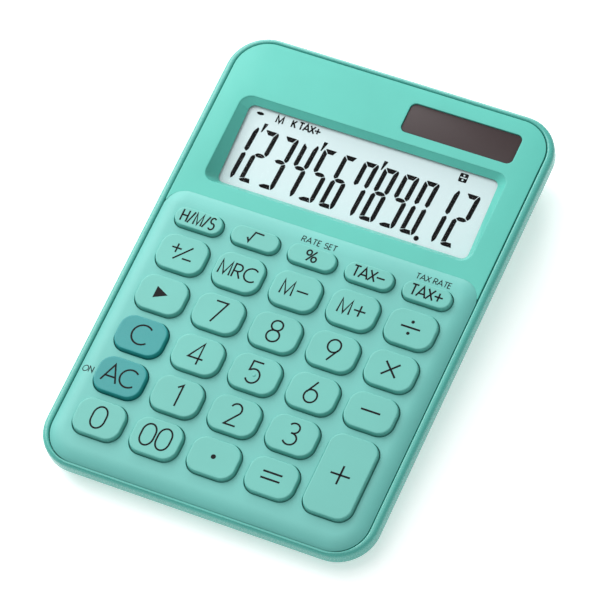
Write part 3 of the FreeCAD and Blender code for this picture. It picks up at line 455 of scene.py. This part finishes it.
def pen(mesh, points, width, surface):
    """A line of one width along a path: a closed sliver on a surface. A path that returns is a loop."""
    loop = math.dist(points[0], points[-1]) < SAME_PLACE
    spots = [Vector(point) for point in (points[:-1] if loop else points)]
    rows = []
    for i, here in enumerate(spots):
        before = here - spots[i - 1] if i or loop else spots[1] - here
        after = spots[(i + 1) % len(spots)] - here if i < len(spots) - 1 or loop else here - spots[i - 1]
        before.normalize()
        after.normalize()
        along = (before + after).normalized()
        across = Vector((-along.y, along.x)) * (width / 2 / max(MITRE_LIMIT, along.dot(before)))
        sides = [here + across, here - across]
        rows.append(
            [mesh.verts.new((*side, surface(*side) + INK)) for side in sides]
            + [mesh.verts.new((*side, surface(*side) - INK_ROOT)) for side in reversed(sides)]
        )
    for first, second in zip(rows, rows[1:] + (rows[:1] if loop else [])):
        for i in range(4):
            mesh.faces.new((first[i - 1], first[i], second[i], second[i - 1]))
    if not loop:
        mesh.faces.new(rows[0])
        mesh.faces.new(rows[-1])


def spot(mesh, points, surface, thickness=INK):
    """A filled patch of ink with a given edge."""
    skin(mesh, [
        ring(mesh, points, lambda x, y: surface(x, y) - INK_ROOT),
        ring(mesh, points, lambda x, y: surface(x, y) + thickness),
    ])
    mesh.verts.ensure_lookup_table()
    last = list(mesh.verts)[-2 * len(points):]
    mesh.faces.new(last[: len(points)])
    mesh.faces.new(last[len(points):])


def divided(points, longest):
    """The same path with more points, so that no run is longer than a length."""
    path = points[:1]
    for (x, y), (next_x, next_y) in zip(points, points[1:]):
        parts = math.ceil(math.dist((x, y), (next_x, next_y)) / longest)
        shares = [i / parts for i in range(1, parts + 1)]
        path += [(x + (next_x - x) * share, y + (next_y - y) * share) for share in shares]
    return path


def write(mesh, text, x, y, height, gap, width, surface, stretch=1, longest=20):
    """A line of signs centred on a point; the gap is a share of the height. No run is over the longest."""
    total = sum(SIGNS[sign][0] for sign in text) * stretch + gap * (len(text) - 1)
    start = x - total * height / 2
    for sign in text:
        wide, paths = SIGNS[sign]
        for path in paths:
            places = [(start + px * stretch * height, y + (py - 0.5) * height) for px, py in path]
            pen(mesh, divided(places, longest), width, surface)
        start += (wide * stretch + gap) * height


DIGIT, BIG_SIGN, DIGIT_PEN, WORD_PEN, MARK_PEN = 6.9, 5, 0.55, 0.52, 0.6
LEGEND_SHIFT = (-0.1, 0.2)
# Words are their signs, height, gap and stretch; bars are pen paths and spots are filled shapes.
WORDS = {
    "hours_minutes_seconds": ("H/m/S", 3.8, 0.14, 0.8),
    "percent": ("%", 3.5, 0, 1),
    "tax_minus": ("TAX-", 3.4, 0.07, 0.94),
    "tax_plus": ("TAX+", 3.4, 0.07, 0.94),
    "memory_recall": ("mRC", 4.4, 0.2, 1),
    "memory_minus": ("m-", 4.5, 0.26, 1),
    "memory_plus": ("m+", 4.5, 0.23, 1),
    "clear": ("C", 6.3, 0, 1),
    "all_clear": ("AC", 5.7, 0.07, 1),
    "double_zero": ("00", DIGIT, 0.13, 0.97),
}
BARS = {
    "square_root": [[(-2.3, -0.7), (-2, -0.6), (-1.4, -1.7), (-0.4, 1.7), (2.4, 1.6)]],
    "sign_change": [[(-3.6, 1.1), (-0.5, 1.1)], [(-2, 2.6), (-2, -0.4)], [(-1.9, -2.5), (2.7, 2.5)],
                    [(0.8, -1.7), (3.7, -1.7)]],
    "divide": [[(-3, 0), (3, 0)]],
    "multiply": [[(-2.2, -2.2), (2.2, 2.2)], [(-2.2, 2.2), (2.2, -2.2)]],
    "subtract": [[(-3, 0), (3, 0)]],
    "add": [[(-3, 0), (3, 0)], [(0, -3), (0, 3)]],
    "equals": [[(-3, 1.05), (3, 1.05)], [(-3, -1.05), (3, -1.05)]],
}
SPOTS = {
    "divide": [circle(0, 1.9, 0.52), circle(0, -1.9, 0.52)],
    "decimal_point": [circle(0, 0, 0.75)],
    "backspace": [[(-2, -1.95), (2.05, 0), (-2, 1.95)]],
}


def on_key(x, y):
    return key_top


for node in key_nodes:
    sign = node.replace("key_", "")
    shape = key_shape(node)
    x, y = shape[3] + LEGEND_SHIFT[0], shape[4] + LEGEND_SHIFT[1]
    print_ink = bmesh.new()
    if sign in WORDS or sign in SIGNS:
        text, height, gap, stretch = WORDS.get(sign, (sign, DIGIT, 0, 1))
        width = DIGIT_PEN if height > BIG_SIGN else WORD_PEN
        write(print_ink, text, x, y, height, gap, width, on_key, stretch)
    for path in BARS.get(sign, []):
        width = WORD_PEN if sign in ("square_root", "sign_change") else MARK_PEN
        pen(print_ink, [(x + px, y + py) for px, py in path], width, on_key)
    for path in SPOTS.get(sign, []):
        spot(print_ink, [(x + px, y + py) for px, py in path], on_key)
    make_piece(f"legend_{sign}", print_ink, ink, body=f"{node}_body")

CAPTIONS = [("RATE SET", -0.2, 14.85, 0.22), ("TAX RATE", 36.1, 14.75, 0.14), ("ON", -47.2, -44.8, 0.2)]
CAPTION, CAPTION_PEN, CAPTION_RUN = 1.85, 0.28, 0.25
for text, x, y, gap in CAPTIONS:
    caption = bmesh.new()
    write(caption, text, x, y, CAPTION, gap, CAPTION_PEN, pad_height, longest=CAPTION_RUN)
    make_piece(f"caption_{text.replace(' ', '_').lower()}", caption, ink)

# ---------------------------------------------------------------- display
# A clear acrylic window, polished flat, over a reflective liquid crystal glass. The glass shows
# a pale grey-blue ground with tall slanted seven-bar figures and small signs above them.
WINDOW = (84, 29.4, 2.5, 0, 0)
WINDOW_TOP, WINDOW_UNDER, WINDOW_BEVEL, WINDOW_ROUND, GLASS_TOP = -0.02, -0.74, 0.1, 0.15, -0.8
clear = moulded("clear_acrylic", tint("1c2222"), 0.08, drift=0.005, grain=0.01)
tune(clear, "Alpha", 0.03)
window = bmesh.new()
rows = [ring(window, outline(WINDOW, -WINDOW_BEVEL), WINDOW_UNDER)]
rows.append(ring(window, outline(WINDOW), WINDOW_UNDER + WINDOW_BEVEL))
for inward, down in quarter_round(WINDOW_ROUND, 3):
    rows.append(ring(window, outline(WINDOW, -inward), WINDOW_TOP - down))
skin(window, rows)
window.faces.new(rows[0])
window.faces.new(rows[-1])
make_piece("display_lens", window, clear, FACE @ VIEW, nodes=["display_window"])

crystal = moulded("liquid_crystal_ground", tint("c8dcde"), 0.5, drift=0.012, grain=0.05, scale=1200)


def coat(node, finish):
    """Give a CAD node its finish."""
    data = frame["nodes"][node].data
    data.materials.clear()
    data.materials.append(finish)


coat("lcd_glass", crystal)

CELL_PITCH, FIRST_CELL, CELL_MIDDLE, SLANT = 6.5, -37.78, -1.5, 0.085
FIGURES = {
    "0": "abcdef", "1": "bc", "2": "abged", "3": "abgcd", "4": "fgbc",
    "5": "afgcd", "6": "afgecd", "7": "abcf", "8": "abcdefg", "9": "abcdfg",
}
BAR_SHAPES = {
    "a": [(-1.95, 6.75), (-1.8, 6.95), (1.48, 6.95), (0.75, 5.5), (-0.85, 5.5)],
    "b": [(0.98, 5.3), (1.65, 6.85), (1.95, 6.85), (2.3, 6.4), (2.4, 5.9), (2.38, -0.4), (1.95, -1.15),
          (1.6, -1.1), (0.95, -0.55)],
    "f": [(-2.4, 5.9), (-2.2, 6.55), (-1, 5.45), (-0.95, -0.5), (-1.7, -1.15), (-2.05, -1.0),
          (-2.4, -0.45)],
    "g": [(-1.6, -1.4), (-0.9, -0.85), (0, -0.75), (0.95, -0.85), (1.75, -1.45), (1.0, -2.0), (0, -2.08),
          (-0.9, -2.0)],
    "e": [(-2.38, -9.65), (-0.95, -9.2), (-0.95, -2.25), (-1.55, -1.65), (-1.95, -1.75), (-2.38, -2.4)],
    "c": [(0.95, -2.25), (1.75, -1.7), (2.05, -1.75), (2.4, -2.4), (2.38, -9.3), (2.1, -10.1),
          (1.75, -10.5), (1.5, -10.55), (0.98, -9.1)],
    "d": [(-2.35, -9.95), (-1.0, -9.3), (0.72, -9.25), (1.3, -10.62), (-1.5, -10.62), (-2.05, -10.4)],
}
READING = "123456789012"
COMMA_CELLS, COMMA = (0, 3, 6), [(3.83, 8.75), (5.05, 8.75), (5.0, 8.4), (4.1, 5.75), (3.75, 5.75)]
POINT_PLACE, POINT_RADIUS = (23.4, -11), 0.8
BATTERY_MARK = (-36.5, 11.25, 1.2, 0.5)
FLAGS = (("M", -30), ("K", -25.4), ("TAX+", -20.3))
FLAG_Y, FLAG_HEIGHT, FLAG_GAP, FLAG_PEN = 11.2, 2.25, 0.06, 0.5
SIGN_X, SIGN_Y, SIGN_DOTS, SIGN_DOT_RADIUS, SIGN_LIFT = 29.35, 11, (10.25, 11.75), 0.3, 0.01
SIGN_FIELD, SIGN_BAR = (2.6, 2.8, 0.35, SIGN_X, SIGN_Y), (2, 0.34, 0.15, SIGN_X, SIGN_Y)
INK_LIFT = 0.01


def on_glass(x, y):
    return GLASS_TOP + INK_LIFT


def slanted(points, x):
    return [(x + px + SLANT * (py - CELL_MIDDLE), py) for px, py in points]


digits = bmesh.new()
for cell, figure in enumerate(READING):
    x = FIRST_CELL + CELL_PITCH * cell
    for bar in FIGURES[figure]:
        spot(digits, slanted(BAR_SHAPES[bar], x), on_glass)
for cell in COMMA_CELLS:
    x = FIRST_CELL + CELL_PITCH * cell
    spot(digits, [(x + px, py) for px, py in COMMA], on_glass)
spot(digits, circle(*POINT_PLACE, POINT_RADIUS), on_glass)
spot(digits, oval(*BATTERY_MARK), on_glass)
for text, x in FLAGS:
    write(digits, text, x, FLAG_Y, FLAG_HEIGHT, FLAG_GAP, FLAG_PEN, on_glass)
spot(digits, outline(SIGN_FIELD), on_glass)
crystal_black = moulded("switched_crystal", tint("040405"), 0.5, drift=0.3, grain=0.05)
tune(crystal_black, "Specular IOR Level", 0.05)
make_piece("display_figures", digits, crystal_black, FACE @ VIEW)
sign = bmesh.new()
spot(sign, outline(SIGN_BAR), on_glass, INK + SIGN_LIFT)
for y in SIGN_DOTS:
    spot(sign, circle(SIGN_X, y, SIGN_DOT_RADIUS), on_glass, INK + SIGN_LIFT)
make_piece("display_divide_sign", sign, crystal, FACE @ VIEW)

# ---------------------------------------------------------------- solar cell
# A dark tinted acrylic window lies glued in its seat. The thin amorphous silicon cell under it
# makes it look an even brown-black.
SOLAR_TOP, SOLAR_UNDER, SOLAR_CLEARANCE, SOLAR_ROUND = -0.4, -0.88, -0.1, 0.1
smoked = moulded("smoked_acrylic", tint("3a2f30"), 0.35, drift=0.03, grain=0.02)
tune(smoked, "Specular IOR Level", 0.2)
tune(smoked, "Alpha", 0.93)
plate = bmesh.new()
rows = [ring(plate, outline(SOLAR_SEAT, SOLAR_CLEARANCE), SOLAR_UNDER)]
for inward, down in quarter_round(SOLAR_ROUND, 3):
    rows.append(ring(plate, outline(SOLAR_SEAT, SOLAR_CLEARANCE - inward), SOLAR_TOP - down))
skin(plate, rows)
plate.faces.new(rows[0])
plate.faces.new(rows[-1])
make_piece("solar_cover", plate, smoked, nodes=["solar_window"])

# ---------------------------------------------------------------- lower case and feet
# The tray is a drafted shell in the same mint ABS, with a loose battery cover let into its flat
# underside. Four black rubber discs are stuck on as feet.
coat("lower_case", moulded("mint_tray_plastic", tint("55b0a3"), 0.48, grain=0.4))
coat("battery_cover", moulded("mint_cover_plastic", tint("52ac9f"), 0.5, grain=0.4))
rubber = moulded("foot_rubber", tint("232323"), 0.75, drift=0.12, grain=0.5)
coat("front_feet", rubber)
coat("rear_feet", rubber)

# ---------------------------------------------------------------- screws
# Zinc-plated steel screws with cross recesses. Four long ones close the case from below, one
# holds the battery cover, and six small ones hang the board under the keyboard panel.
steel = moulded("zinc_plated_steel", tint("b9bcc0"), 0.3, drift=0.08, grain=0.2)
tune(steel, "Metallic", 1)
for node in ("board_screws", "battery"):
    coat(node, steel)

TABLE = Matrix.Scale(MM, 4)
SCREW_RADIUS, SCREW_TIP_RADIUS, SCREW_TIP, HEAD_RADIUS, HEAD_EDGE = 0.95, 0.4, 0.8, 1.8, 0.35
CASE_SCREW_HEAD, COVER_SCREW_HEAD = 1.2, 1.05
CROSS_REACH, CROSS_HALF, CROSS_DEPTH = 1.0, 0.2, 0.6
CROSS_ARM = [(CROSS_REACH, -CROSS_HALF), (CROSS_REACH, CROSS_HALF), (CROSS_HALF, CROSS_HALF)]


def round_outline(x, y, radius):
    """A round, as a rounded rectangle that is all corner."""
    return outline((2 * radius, 2 * radius, radius, x, y))


def cross_outline(x, y):
    """The plus-shaped mouth of a cross recess."""
    points = []
    for turn in range(4):
        ahead = Vector((math.cos(turn * math.pi / 2), math.sin(turn * math.pi / 2)))
        aside = Vector((-ahead.y, ahead.x))
        for reach, offset in CROSS_ARM:
            corner = ahead * reach + aside * offset
            points.append((x + corner.x, y + corner.y))
    return points


def add_screw(mesh, x, y, tip, seat, face):
    """A pan-head screw that points up, with a cross recess in the head that faces down."""
    def disc(radius, height):
        return ring(mesh, round_outline(x, y, radius), height)

    rows = [disc(SCREW_TIP_RADIUS, tip), disc(SCREW_RADIUS, tip - SCREW_TIP), disc(SCREW_RADIUS, seat)]
    rows.append(disc(HEAD_RADIUS, seat))
    for inward, down in quarter_round(HEAD_EDGE, 4):
        rows.append(disc(HEAD_RADIUS - inward, face + down))
    skin(mesh, rows)
    mesh.faces.new(rows[0])
    mouth = ring(mesh, cross_outline(x, y), face)
    bottom = ring(mesh, cross_outline(x, y), face + CROSS_DEPTH)
    fill(mesh, rows[-1], mouth)
    skin(mesh, [mouth, bottom])
    mesh.faces.new(bottom)


screws_low, screws_high = face_box("case_screws")
screws = bmesh.new()
for x in (screws_low.x + HEAD_RADIUS, screws_high.x - HEAD_RADIUS):
    for y in (screws_low.y + HEAD_RADIUS, screws_high.y - HEAD_RADIUS):
        add_screw(screws, x, y, screws_high.z, screws_low.z + CASE_SCREW_HEAD, screws_low.z)
make_piece("case_screw_set", screws, steel, nodes=["case_screws"])
low, high = (Vector(corner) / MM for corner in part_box("battery_cover_screw"))
cover_screw = bmesh.new()
middle = (low + high) / 2
add_screw(cover_screw, middle.x, middle.y, high.z, low.z + COVER_SCREW_HEAD, low.z)
replaced = ["battery_cover_screw"]
make_piece("battery_cover_cross_screw", cover_screw, steel, TABLE, nodes=replaced)

# ---------------------------------------------------------------- label
# A plain foil label stuck under the tray, with nothing on it but a thin printed border.
coat("rating_label", moulded("foil_label", tint("cfd3d2"), 0.35, drift=0.02, grain=0.1))
low, high = (Vector(corner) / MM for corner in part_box("rating_label"))
LABEL_CORNER, BORDER_IN, BORDER_WIDTH = 1.5, 1.2, 0.3
LABEL = (high.x - low.x, high.y - low.y, LABEL_CORNER, (low.x + high.x) / 2, (low.y + high.y) / 2)
border = bmesh.new()
skin(border, [
    ring(border, outline(LABEL, -BORDER_IN), low.z + INK_ROOT),
    ring(border, outline(LABEL, -BORDER_IN), low.z - INK),
    ring(border, outline(LABEL, -BORDER_IN - BORDER_WIDTH), low.z - INK),
    ring(border, outline(LABEL, -BORDER_IN - BORDER_WIDTH), low.z + INK_ROOT),
], closed=True)
make_piece("label_border", border, ink, TABLE)

# ---------------------------------------------------------------- rubber keypad
# One sheet of grey silicone rubber on the board, with a hollow dome and a conductive pill under every key.
# The domes are fixed solids on the case and do not fold here; in the real keypad a pressed key folds its
# dome down, and the rubber's spring lifts the key again.
SHEET_TOP, DOME_RADIUS, DOME_TOP_RADIUS, DOME_HOLLOW, PILL_RADIUS = -4.2, 3.9, 3.15, 2.8, 1.3
DOME_TOP, DOME_ROOF, DOME_LEAN, DOME_SEAM, DOME_KEEP = -2.6, 0.9, 0.3, 0.01, 0.25
SCREW_SPOTS = [(-1.5, 1.5), (1.5, 1.5), (-0.5, 2.5), (0.5, 2.5), (-1.5, 3.5), (1.5, 3.5)]
COLUMN_PITCH, ROW_PITCH, FIRST_ROW, SCREW_ROOM, SHEET_CORNER = 18.25, 14.15, -2.3, 1.9, 3
sheet_low, sheet_high = face_box("rubber_keypad")
sheet_size, sheet_middle = sheet_high - sheet_low, (sheet_low + sheet_high) / 2
SHEET = (sheet_size.x, sheet_size.y, SHEET_CORNER, 0, sheet_middle.y)
silicone = moulded("silicone_rubber", tint("cfcfc8"), 0.6, drift=0.06)

sheet = bmesh.new()
edge = [ring(sheet, outline(SHEET), height) for height in (sheet_low.z, SHEET_TOP)]
skin(sheet, edge)
mouths = [(*key_shape(node)[3:5], DOME_HOLLOW) for node in key_nodes]
for column, row in SCREW_SPOTS:
    mouths.append((column * COLUMN_PITCH, FIRST_ROW - (row - 1) * ROW_PITCH, SCREW_ROOM))
walls = []
for mouth in mouths:
    walls.append([ring(sheet, round_outline(*mouth), height) for height in (sheet_low.z, SHEET_TOP)])
for wall in walls:
    skin(sheet, wall)
for level in (0, 1):
    fill(sheet, edge[level], *(wall[level] for wall in walls))
make_piece("keypad_sheet", sheet, silicone, nodes=["rubber_keypad"])

for node in key_nodes:
    x, y = key_shape(node)[3:5]
    dome = bmesh.new()
    foot = SHEET_TOP + DOME_SEAM
    profile = [
        (PILL_RADIUS, foot + DOME_SEAM), (PILL_RADIUS, DOME_TOP - DOME_ROOF),
        (DOME_HOLLOW - DOME_LEAN, DOME_TOP - DOME_ROOF), (DOME_HOLLOW, foot),
        (DOME_RADIUS, foot), (DOME_TOP_RADIUS, DOME_TOP),
    ]
    rows = [ring(dome, round_outline(x, y, radius), height) for radius, height in profile]
    skin(dome, rows)
    dome.faces.new(rows[0])
    dome.faces.new(rows[-1])
    piece = make_piece(node.replace("key_", "dome_"), dome, silicone)
    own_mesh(piece)

# ---------------------------------------------------------------- inner parts
# What else lies between the shells: a laminate board with its resin-sealed chip, the white holder
# and the film of the display, foam, soldered leads and spring steel battery contacts.
inner_finishes = {
    "lcd_reflector": ("f0f2f2", 0.3), "lcd_holder": ("e4e4de", 0.45), "solar_cell": ("2c2024", 0.15),
    "solar_cell_pad": ("262626", 0.9), "circuit_board": ("6f8f3f", 0.4), "chip_blob": ("0c0c0c", 0.2),
    "capacitor": ("25305a", 0.35), "heat_seal_ribbon": ("b98a45", 0.4),
    "solar_leads": ("b01f1f", 0.4), "battery_leads": ("b01f1f", 0.4),
    "battery_contact_plus": ("c9ccd0", 0.3), "battery_contact_minus": ("c9ccd0", 0.3),
}
for node, (colour, gloss) in inner_finishes.items():
    coat(node, moulded(f"{node}_finish", tint(colour), gloss, drift=0.06))

# ---------------------------------------------------------------- floor, light and camera
# A plain white table in a bright studio: one softbox on the left, a low one behind, a weak one
# overhead and a pale surrounding light.
bpy.context.scene.view_settings.view_transform = "Standard"
floor_mesh = bmesh.new()
FLOOR_HALF = 1.6
corners = [(-1, -1), (1, -1), (1, 1), (-1, 1)]
floor_mesh.faces.new([floor_mesh.verts.new((x * FLOOR_HALF, y * FLOOR_HALF, 0)) for x, y in corners])
floor_data = bpy.data.meshes.new("floor")
floor_mesh.to_mesh(floor_data)
floor_mesh.free()
floor = bpy.data.objects.new("floor", floor_data)
bpy.context.scene.collection.objects.link(floor)
white_table = moulded("white_table", (0.93, 0.93, 0.93), 0.8, drift=0.002, grain=0.05)
tune(white_table, "Emission Color", (1, 1, 1, 1))
tune(white_table, "Emission Strength", 0.38)
floor_data.materials.append(white_table)

world = bpy.data.worlds.new("studio")
bpy.context.scene.world = world
world.use_nodes = True
world.node_tree.nodes["Background"].inputs["Color"].default_value = (1, 1, 1, 1)
world.node_tree.nodes["Background"].inputs["Strength"].default_value = 0.5


def softbox(name, azimuth, elevation, distance, size, power):
    """A square lamp that faces the object's middle from a direction."""
    lamp = bpy.data.lights.new(name, "AREA")
    lamp.size, lamp.energy = size, power
    holder = bpy.data.objects.new(name, lamp)
    bpy.context.scene.collection.objects.link(holder)
    turn, rise = math.radians(azimuth), math.radians(elevation)
    back = Vector((math.sin(turn) * math.cos(rise), -math.cos(turn) * math.cos(rise), math.sin(rise)))
    holder.matrix_world = (
        Matrix.Translation(back * distance)
        @ Matrix.Rotation(turn, 4, "Z")
        @ Matrix.Rotation(math.pi / 2 - rise, 4, "X")
    )


softbox("main_softbox", -115, 40, 0.7, 0.5, 4.3)
softbox("rear_softbox", -155, 20, 0.9, 0.5, 3.6)
softbox("overhead_softbox", -60, 82, 1.0, 0.7, 3.2)

CAMERA_AZIMUTH, CAMERA_ELEVATION, CAMERA_ROLL = map(math.radians, (35.5, 56.373, -12.567))
CAMERA_DISTANCE, CAMERA_AIM = 1.2791, (1.6, -3.43, 0)
camera_data = bpy.data.cameras.new("camera")
camera_data.lens = 267.06
camera_data.clip_start, camera_data.clip_end = 0.05, 20
camera = bpy.data.objects.new("camera", camera_data)
bpy.context.scene.collection.objects.link(camera)
bpy.context.scene.camera = camera
camera.matrix_world = (
    Matrix.Translation(FACE @ Vector(CAMERA_AIM))
    @ Matrix.Rotation(CAMERA_AZIMUTH, 4, "Z")
    @ Matrix.Rotation(math.pi / 2 - CAMERA_ELEVATION, 4, "X")
    @ Matrix.Rotation(CAMERA_ROLL, 4, "Z")
    @ Matrix.Translation((0, 0, CAMERA_DISTANCE))
)
